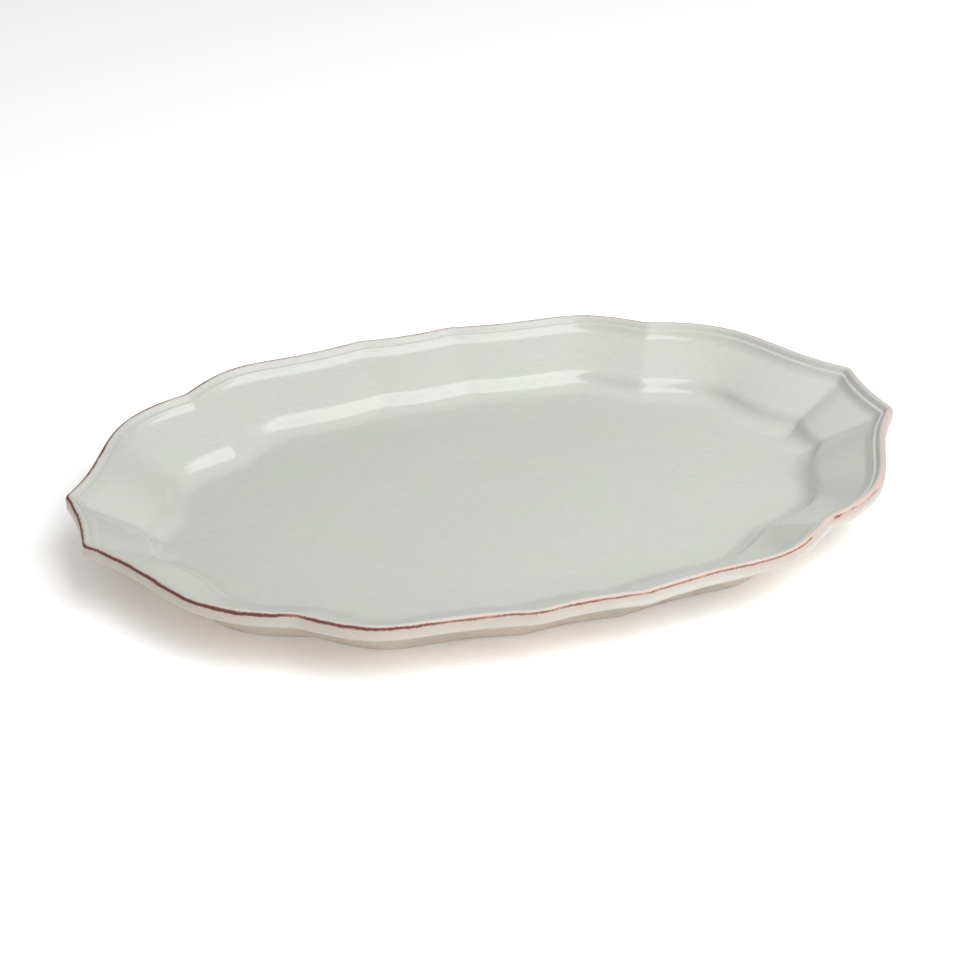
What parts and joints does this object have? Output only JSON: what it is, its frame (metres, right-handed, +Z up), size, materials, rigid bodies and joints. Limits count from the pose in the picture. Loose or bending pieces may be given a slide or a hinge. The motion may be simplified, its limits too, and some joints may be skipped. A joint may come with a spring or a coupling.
{
  "type": "serving platter",
  "caption": "Large oval serving platter with a scalloped, bracketed rim, creased sloping wall, flat well and low foot ring, in pale speckled glaze with a worn brown edge line.",
  "frame": {"origin": "middle of the plane that the foot ring rests on", "axes": "+X along the platter, +Y across it, +Z up out of the well"},
  "size_m": [0.448, 0.3336, 0.0345],
  "materials": {
    "clay": "matte fired stoneware clay",
    "bare_foot": "matte unglazed stoneware clay",
    "inner_glaze": "glossy grey-white glaze with soft speckle and brush mottling",
    "outer_glaze": "satin warm white glaze, thinner over the clay",
    "rim_line": "matte reddish brown fired clay showing through the worn glaze"
  },
  "bodies": {
    "root": {"clay_body": "clay", "foot_ring": "bare_foot", "inner_glaze": "inner_glaze", "outer_glaze": "outer_glaze", "base_glaze": "outer_glaze", "rim_line": "rim_line"}
  },
  "joints": []
}
